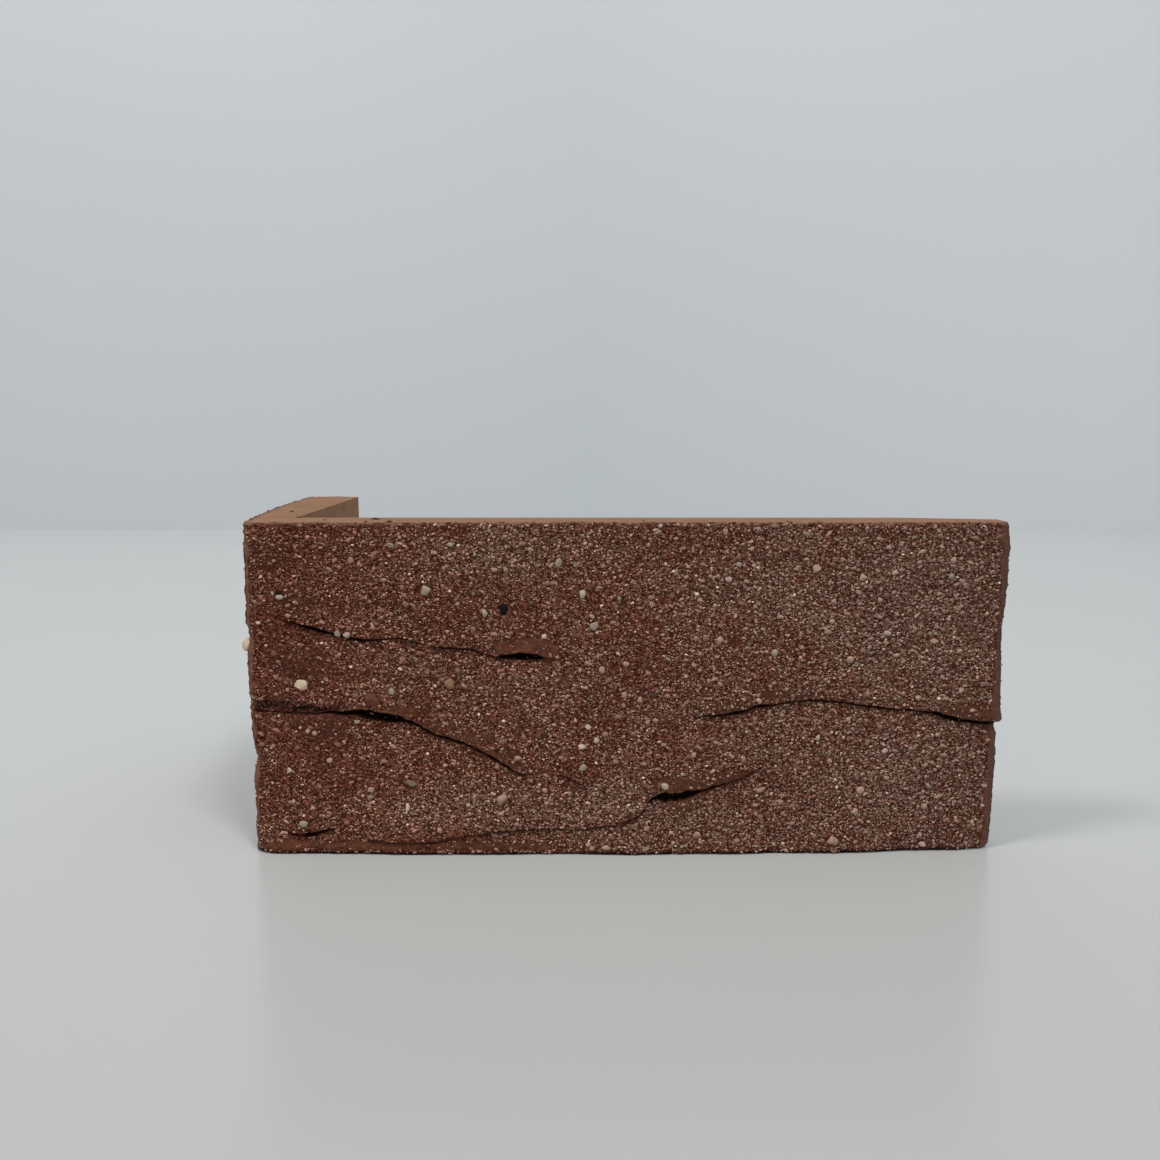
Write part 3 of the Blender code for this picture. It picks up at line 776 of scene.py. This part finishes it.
def spot_at(grid, u, z):
    """Point, outward direction and sand cover of the skin at places given
    by share of length and by height, blended between the grid's corners."""
    points, normals, skin, us = grid
    order = np.argsort(us[0], kind="stable")
    place = np.interp(u, us[0][order], order)
    left = np.clip(np.floor(place).astype(int), 0, us.shape[1] - 2)
    across = (place - left)[:, None]
    stacked = np.concatenate([points, normals, skin["sand"][..., None]], axis=2)
    line = stacked[:, left] * (1.0 - across) + stacked[:, left + 1] * across
    below = (line[..., 2] <= z).sum(axis=0) - 1
    below = np.clip(below, 0, len(line) - 2)
    number = np.arange(len(u))
    low = line[below, number]
    high = line[below + 1, number]
    up = (z - low[:, 2]) / np.maximum(high[:, 2] - low[:, 2], 1e-9)
    blend = low + (high - low) * unit(up)[:, None]
    return blend[:, :3], direction(blend[:, 3:6]), blend[:, 6]


def clear_of_stones(u, z):
    """Which places lie outside the large stones."""
    free = np.ones(len(u), bool)
    for place, level, wide, tall, tint in STONES:
        free &= spread(u, z, place, level, STONE_REACH * wide, STONE_REACH * tall) > 1.0
    return free


def off_creases(u, z):
    """Which places lie clear of every open crease."""
    free = np.ones(len(u), bool)
    for crease in CREASES:
        rise = np.abs(z - line_value(crease, u) * HEIGHT)
        mouth = line_value(crease, u, 2)
        free &= (rise > 0.0007 + 0.0005 * mouth) | (mouth < 0.1)
    return free


def sand_places(grid, u_range, pitch, rng):
    """Jittered places for grains over a stretch of the skin."""
    start, stop = u_range
    across = int((stop - start) * FACE_LENGTH / pitch)
    up = int(HEIGHT / pitch)
    along, level = np.meshgrid(np.arange(across), np.arange(up))
    along = (along.ravel() + rng.random(along.size)) / across
    level = (level.ravel() + rng.random(level.size)) / up
    u = start + along * (stop - start)
    z = level * HEIGHT
    spots, facing, cover = spot_at(grid, u, z)
    tone = tone_field(u, z)
    crowd = 0.80 + 0.34 * soft_noise(u * FACE_LENGTH, z, 0.0030, 9) - 0.26 * tone
    keep = rng.random(len(u)) < cover * crowd
    keep &= clear_of_stones(u, z)
    return [values[keep] for values in (spots, facing, u, z, tone)]


def sand_tints(kind, rng, u, z, tone):
    """Colours of the grains of one size."""
    dull, light, pale, dark = SAND_COLOURS[kind]
    pale = pale * (1.15 - 0.45 * unit(u))
    count = len(u)
    choice = rng.random(count)
    mix = rng.random((count, 1)) ** 1.2
    colour = np.array(dull) + (np.array(light) - np.array(dull)) * mix
    grey = 0.03 + 0.12 * unit(u) + 0.22 * unit(-tone)
    colour[choice < grey] = GREY_SAND
    colour[choice > 1.0 - pale] = PALE_SAND
    colour[(choice > 1.0 - pale - dark) & (choice <= 1.0 - pale)] = DARK_SAND
    colour = colour * (1.0 - unit(tone)[:, None] * REDDER)
    # The sand is greyer towards the free end and lighter at the corner.
    share = unit(u)[:, None]
    colour = colour * (1.03 + (share - 0.42) * GREYER)
    colour = colour * (1.0 - np.clip(share - 0.6, 0.0, 0.4) * DARKER_LATE)
    colour = colour * (1.0 + 0.15 * unit(-tone)[:, None])
    colour = colour * (1.0 + np.exp(-np.abs(u) / 0.04)[:, None] * LIGHTER_CORNER)
    colour = MIDDLE_SAND + (colour - MIDDLE_SAND) * (1.0 - 0.16 * share)
    uneven = rng.uniform(0.78, 1.28, (count, 1)) ** (1.1 - 0.4 * share)
    # Grains in the hollow at the corner are darkened with painted shade.
    return colour * (1.0 - 0.72 * hollow_share(u, z))[:, None] * uneven


def add_sand(grid, material):
    """Sand of each size on both halves of the long face, the return and
    the free end."""
    pieces = []
    seed = 11
    for kind, pitch, mean, least, most, level in SAND:
        shape = grain_shape(level)
        for region, u_range, apart in SAND_REGIONS:
            seed += 6
            rng = np.random.default_rng(seed)
            places = sand_places(grid, u_range, pitch * apart, rng)
            if kind == "coarse":
                clear = off_creases(places[2], places[3])
                places = [values[clear] for values in places]
            spots, facing, u, z, tone = places
            count = len(u)
            sizes = mean * np.exp(SAND_SPREAD * rng.standard_normal(count))
            sizes = np.clip(sizes, least, most)
            stretch = rng.uniform(0.95, 1.45, count)
            sizes = np.stack([sizes * stretch, sizes / stretch], axis=1)
            turn = rng.normal(0.0, 0.45, count)
            grains = (spots, facing, sizes, sand_tints(kind, rng, u, z, tone), turn)
            name = f"sand_{kind}_{region}"
            pieces.append(scatter_grains(name, material, shape, grains, 0.30, 0.28, rng))
    return pieces


def add_rim(grid, material):
    """Crumbs along the outer edge of the upper bed and specks on the bed."""
    rng = np.random.default_rng(23)
    count = FRONT_CRUMBS + SIDE_CRUMBS
    u = rng.uniform(-0.01, 0.985, count)
    u[FRONT_CRUMBS:] = rng.uniform(-0.475, -0.005, SIDE_CRUMBS)
    z = HEIGHT - rng.uniform(0.00000, 0.00050, count)
    wide = rng.uniform(0.0005, 0.0015, count)
    tall = rng.uniform(0.00026, 0.00052, count)
    light = LIGHT_CRUMB * rng.uniform(0.7, 1.15, (count, 1))
    dark = DARK_CRUMB * rng.uniform(0.7, 1.60, (count, 1))
    chance = np.where(np.arange(count) < FRONT_CRUMBS, 0.45, 0.80)[:, None]
    tints = np.where(rng.random((count, 1)) < chance, dark, light)
    spots, facing, cover = spot_at(grid, u, z)

    specks = np.array(BED_SPECKS) * 0.001
    number = len(specks)
    on_bed = [(MIDDLE_X + x, FRONT_Y + y, HEIGHT) for x, y in specks[:, :2]]
    upward = direction(np.array([0.0, -0.05, 1.0]))
    spots = np.concatenate([spots, on_bed])
    facing = np.concatenate([facing, [upward] * number])
    sizes = np.concatenate([np.stack([wide, tall], axis=1), specks[:, 2:]])
    tints = np.concatenate([tints, np.tile(BED_SPECK_COLOUR, (number, 1))])
    turn = rng.normal(0.0, 0.12, count + number)
    grains = (spots, facing, sizes, tints, turn)
    return scatter_grains("rim_crumbs", material, grain_shape(1), grains, 0.35, 0.25, rng)


def add_stones(grid, material):
    """The stones that can be told apart in the long face."""
    u, level, wide, tall = np.array([stone[:4] for stone in STONES]).T
    sizes = np.stack([wide, tall], axis=1) * 0.001
    tints = np.array([TINTS[stone[4]] for stone in STONES])
    spots, facing, cover = spot_at(grid, u, level * HEIGHT)
    # A stone on the return stands proud, and the others are sunk in.
    sink = np.where(u < 0.0, -0.15, 0.45)
    grains = (spots, facing, sizes, tints, 0.0 * u)
    rng = np.random.default_rng(5)
    return scatter_grains("grit_stones", material, grain_shape(3), grains, sink, 0.05, rng)


class Nodes:
    """Short way to lay out a material's nodes."""

    def __init__(self, name, stretch=1.0):
        self.stretch = stretch
        self.material = bpy.data.materials.new(name)
        self.material.use_nodes = True
        self.tree = self.material.node_tree

    def put(self, node, values):
        """Link or set a node's inputs, by their names or numbers."""
        for key, value in values.items():
            if isinstance(value, bpy.types.NodeSocket):
                self.tree.links.new(value, node.inputs[key])
            else:
                node.inputs[key].default_value = value

    def add(self, kind, values, **settings):
        node = self.tree.nodes.new(kind)
        for key, value in settings.items():
            setattr(node, key, value)
        self.put(node, values)
        return node

    def finish(self, values):
        """Set up the shader and give the material."""
        self.put(self.tree.nodes["Principled BSDF"], values)
        return self.material

    def ramp(self, source, stops):
        node = self.add("ShaderNodeValToRGB", {"Fac": source})
        elements = node.color_ramp.elements
        while len(elements) < len(stops):
            elements.new(0.5)
        for element, (place, colour) in zip(elements, stops):
            element.position = place
            element.color = (*colour, 1.0)
        return node.outputs["Color"]

    def step(self, source, low, high, first=0.0, last=1.0):
        """Ramp from one grey to another, black to white if not given."""
        return self.ramp(source, ((low, (first,) * 3), (high, (last,) * 3)))

    def mix(self, factor, first, second, kind="MIX"):
        first, second = ((*c, 1.0) if isinstance(c, tuple) else c for c in (first, second))
        values = {0: factor, 6: first, 7: second}
        node = self.add("ShaderNodeMix", values, data_type="RGBA", blend_type=kind)
        return node.outputs[2]

    def noise(self, scale, detail=2.0, roughness=0.5, output="Fac"):
        values = {"Vector": self.place(), "Scale": scale, "Detail": detail, "Roughness": roughness}
        return self.add("ShaderNodeTexNoise", values).outputs[output]

    def cells(self, scale, place):
        """Distance to the nearest cell's middle, and its random shares."""
        node = self.add("ShaderNodeTexVoronoi", {"Scale": scale, "Vector": place})
        shares = self.add("ShaderNodeSeparateColor", {0: node.outputs["Color"]})
        return node.outputs["Distance"], shares.outputs

    def plain_place(self):
        return self.add("ShaderNodeTexCoord", {}).outputs["Object"]

    def place(self):
        """Place in the object, squeezed up the height by the stretch."""
        values = {0: self.plain_place(), 1: (1.0, 1.0, self.stretch)}
        return self.add("ShaderNodeVectorMath", values, operation="MULTIPLY").outputs[0]

    def axis(self, name):
        split = self.add("ShaderNodeSeparateXYZ", {0: self.plain_place()})
        return split.outputs[name]

    def span(self, value, low, high):
        """Share of the way from low to high."""
        values = {"Value": value, "From Min": low, "From Max": high}
        return self.add("ShaderNodeMapRange", values).outputs[0]

    def attribute(self, name, output="Fac"):
        return self.add("ShaderNodeAttribute", {}, attribute_name=name).outputs[output]

    def maths(self, operation, first, second):
        node = self.add("ShaderNodeMath", {0: first, 1: second}, operation=operation)
        return node.outputs[0]

    def times(self, first, second):
        return self.maths("MULTIPLY", first, second)

    def plus(self, first, second):
        return self.maths("ADD", first, second)

    def minus(self, first, second):
        return self.maths("SUBTRACT", first, second)

    def bump(self, height, distance, below=None):
        values = {"Height": height, "Distance": distance}
        if below is not None:
            values["Normal"] = below
        return self.add("ShaderNodeBump", values).outputs["Normal"]


def skin_material():
    """Fired clay with fine sand in it, smoother where it was wiped."""
    n = Nodes("sanded_clay", stretch=1.5)
    names = ("sand", "crack", "tone", "dull", "wiped")
    sand, crack, tone, dull, wiped = (n.attribute(name) for name in names)

    drift = n.times(n.minus(n.noise(330.0, 4.0, 0.6), 0.5), 1.6)
    drift = n.plus(n.times(tone, 0.5), drift)
    base = n.ramp(n.plus(drift, 0.5), SANDY_CLAY)
    bare = n.ramp(n.noise(420.0, 5.0, 0.65), BARE_CLAY)
    # Painted shade: a darker purple-brown on the skin round the free end's arris.
    bare = n.mix(n.times(dull, 0.85), bare, (0.098, 0.064, 0.056))
    bare = n.mix(n.times(wiped, 0.80), bare, (0.205, 0.108, 0.082))
    matrix = n.mix(sand, bare, base)

    # Fine sand, lighter than the clay, and painted shade in the pits between grains.
    distance, dice = n.cells(3300.0, n.place())
    speck = n.step(distance, 0.24, 0.40, 1.0, 0.0)
    amount = n.times(speck, n.maths("GREATER_THAN", dice[0], 0.50))
    amount = n.times(amount, n.plus(n.times(sand, 0.72), 0.28))
    fine = n.mix(dice[1], (0.170, 0.062, 0.038), (0.600, 0.345, 0.240))
    coloured = n.mix(amount, matrix, fine)
    pit_shade = n.step(n.noise(1700.0, 2.0, 0.6), 0.47, 0.54, 1.0, 0.0)
    gritty = n.plus(n.times(sand, 0.85), 0.15)
    dark = n.times(n.times(pit_shade, gritty), n.minus(1.0, amount))
    coloured = n.mix(n.times(dark, 0.92), coloured, (0.040, 0.008, 0.003))
    # Painted shade in a ragged dark line where the sanded skin meets bare clay, in place of the shadow of
    # its small step.
    border_shade = n.times(sand, n.minus(1.0, sand))
    border_shade = n.times(border_shade, n.times(n.noise(1100.0), 3.6))
    coloured = n.mix(border_shade, coloured, (0.034, 0.013, 0.009))

    # Crumbs of lighter clay along the upper rim.
    rim = n.span(n.axis("Z"), HEIGHT - 0.00080, HEIGHT - 0.00020)
    front = n.span(n.axis("Y"), FRONT_Y + 0.0030, FRONT_Y + 0.0010)
    crumbs = n.times(rim, n.step(n.noise(800.0, 4.0, 0.7), 0.44, 0.56))
    crumbs = n.times(front, crumbs)
    coloured = n.mix(n.times(crumbs, 0.85), coloured, (0.245, 0.128, 0.088))
    # Painted shade, near black, in the creases, the hollow at the corner and along the foot.
    painted_shade = n.times(n.step(crack, 0.05, 0.28), 0.94)
    coloured = n.mix(painted_shade, coloured, (0.008, 0.003, 0.003))

    height = n.minus(amount, n.times(dark, 0.7))
    low = n.bump(n.noise(800.0, 5.0, 0.7), 0.00030)
    return n.finish({
        "Base Color": coloured,
        "Roughness": n.step(n.noise(420.0, 3.0), 0.3, 0.7, 0.72, 0.95),
        "Specular IOR Level": 0.05,
        "Normal": n.bump(height, 0.00024, low),
    })


def cut_material():
    """Clay laid bare by the cut: even, lighter, with small pores."""
    n = Nodes("cut_clay")
    base = n.ramp(n.noise(120.0, 4.0, 0.6), CUT_CLAY)
    ripple = n.noise(1500.0, output="Color")
    values = {0: ripple, 1: (0.0011, 0.0011, 0.0011), 2: n.plain_place()}
    moved = n.add("ShaderNodeVectorMath", values, operation="MULTIPLY_ADD")
    distance, dice = n.cells(1050.0, moved.outputs[0])
    speck = n.step(n.plus(distance, n.times(dice[2], 0.22)), 0.26, 0.36, 1.0, 0.0)
    light = n.times(speck, n.maths("GREATER_THAN", dice[0], 0.80))
    base = n.mix(n.times(light, 0.42), base, (0.36, 0.25, 0.17))
    # Small pores painted near black: painted shade in the holes.
    shaded_pore = n.times(speck, n.maths("LESS_THAN", dice[0], 0.07))
    base = n.mix(n.times(shaded_pore, 0.85), base, (0.055, 0.030, 0.022))

    # The dark skin shows in a ragged fringe along the return's outer edge.
    from_front = n.minus(n.axis("Y"), FRONT_Y)
    back = n.maths("DIVIDE", from_front, RETURN_LENGTH)
    belly = n.times(n.minus(1.0, back), 4.0 * RETURN_BELLY)
    lean = n.times(back, n.plus(belly, RETURN_FLARE))
    from_edge = n.plus(n.minus(n.axis("X"), MIDDLE_X - HALF), lean)
    from_edge = n.plus(from_edge, n.times(n.noise(700.0, 4.0, 0.7), 0.0022))
    fringe = n.step(n.times(from_edge, 250.0), 0.44, 0.66, 1.0, 0.0)
    base = n.mix(n.times(fringe, 0.9), base, (0.095, 0.034, 0.022))

    # A redder band with dark crumbs runs along the long face's edge.
    front = n.plus(n.times(from_front, 100.0), n.times(n.noise(500.0, 4.0, 0.7), 0.5))
    band = n.step(front, 0.34, 0.58, 1.0, 0.0)
    base = n.mix(n.times(band, 0.75), base, (0.250, 0.122, 0.086))
    crumb = n.step(n.noise(330.0, 5.0, 0.7), 0.56, 0.61)
    crumb = n.times(crumb, n.plus(n.times(band, 0.8), 0.1))
    base = n.mix(crumb, base, (0.060, 0.026, 0.018))

    wave = n.bump(n.noise(900.0, 3.0, 0.6), 0.00010)
    return n.finish({
        "Base Color": base,
        "Roughness": n.step(n.noise(300.0), 0.3, 0.7, 0.80, 0.95),
        "Specular IOR Level": 0.25,
        "Normal": n.bump(n.minus(1.0, shaded_pore), 0.00020, wave),
    })


def stone_material(name, scale, depth):
    """Grain of sand or stone whose colour is its own tint."""
    n = Nodes(name)
    shade = n.step(n.noise(scale, 3.0, 0.6), 0.25, 0.75, 0.62, 1.0)
    return n.finish({
        "Base Color": n.mix(1.0, n.attribute("tint", "Color"), shade, "MULTIPLY"),
        "Roughness": 0.75,
        "Specular IOR Level": 0.12,
        "Normal": n.bump(n.noise(scale * 1.5, 3.0), depth),
    })


def stage_material(name, axis, low, high, tones, blotch, roughness, specular):
    """Pale paint whose tone drifts along an axis as painted light and shade, with faint blotches."""
    n = Nodes(name)
    tone = n.ramp(n.span(n.axis(axis), low, high), tones)
    shade = n.step(n.noise(blotch), 0.3, 0.7, 0.985, 1.0)
    return n.finish({
        "Base Color": n.mix(1.0, tone, shade, "MULTIPLY"),
        "Roughness": roughness,
        "Specular IOR Level": specular,
    })


def flat_sheet(name, near, far, material):
    """A sheet of the stage between two lines, each given by its y and z."""
    ends = ((-STAGE_HALF, near), (STAGE_HALF, near), (STAGE_HALF, far), (-STAGE_HALF, far))
    corners = np.array([(x, *line) for x, line in ends])
    sheet = mesh_object(name, corners, [[0, 1, 2, 3]], smooth=False)
    sheet.data.materials.append(material)


def build_stage():
    """A pale table, darkened towards the viewer by painted shade, that meets a
    pale wall, lightened towards the right by painted light."""
    top = stage_material("table_top", "Y", -0.14, 0.45, TABLE_SHADE_TONES, 6.0, 0.24, 0.6)
    paint = stage_material("wall_paint", "X", -0.40, 0.40, WALL_LIGHT_TONES, 3.0, 0.45, 0.5)
    flat_sheet("pale_table", (TABLE_NEAR, 0.0), (WALL_Y, 0.0), top)
    flat_sheet("pale_wall", (WALL_Y, 0.0), (WALL_Y, WALL_TOP), paint)


def build_lights():
    """Two lamps high up on either side, and an even light all round."""
    for name, place, power in LAMPS:
        lamp = bpy.data.lights.new(name, "AREA")
        lamp.energy = power
        lamp.size = LAMP_SIZE
        lamp.color = (1.0, 0.99, 0.97)
        made = bpy.data.objects.new(name, lamp)
        made.location = place
        aim = Vector(LAMP_AIM) - Vector(place)
        made.rotation_euler = aim.to_track_quat("-Z", "Y").to_euler()
        bpy.context.scene.collection.objects.link(made)
    world = bpy.data.worlds.new("soft_room")
    bpy.context.scene.world = world
    world.use_nodes = True
    back = world.node_tree.nodes["Background"]
    back.inputs["Color"].default_value = (0.98, 0.99, 0.98, 1.0)
    back.inputs["Strength"].default_value = 0.64


def build_camera():
    data = bpy.data.cameras.new("view")
    data.sensor_width = SENSOR_MM
    data.lens = FOCAL_MM
    data.clip_start = 0.01
    data.clip_end = 20.0
    made = bpy.data.objects.new("view", data)
    made.location = (MIDDLE_X - CAMERA_LEFT, FRONT_Y - CAMERA_BACK, CAMERA_HEIGHT)
    made.rotation_euler = (math.radians(90.0 - CAMERA_PITCH_DEG), 0.0, 0.0)
    bpy.context.scene.collection.objects.link(made)
    bpy.context.scene.camera = made


def main():
    build_camera()
    build_stage()
    build_lights()
    bpy.context.scene.view_settings.view_transform = "Standard"

    grid = skin_grid()
    slip = build_slip(grid, skin_material(), cut_material())
    grain = stone_material("sand_grain", 2200.0, 0.00005)
    pieces = [slip, *add_sand(grid, grain), add_rim(grid, grain)]
    pieces.append(add_stones(grid, stone_material("grit_stone", 1500.0, 0.00008)))
    for piece in pieces:
        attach(piece, "root")
    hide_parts("corner_brick_slip")


main()
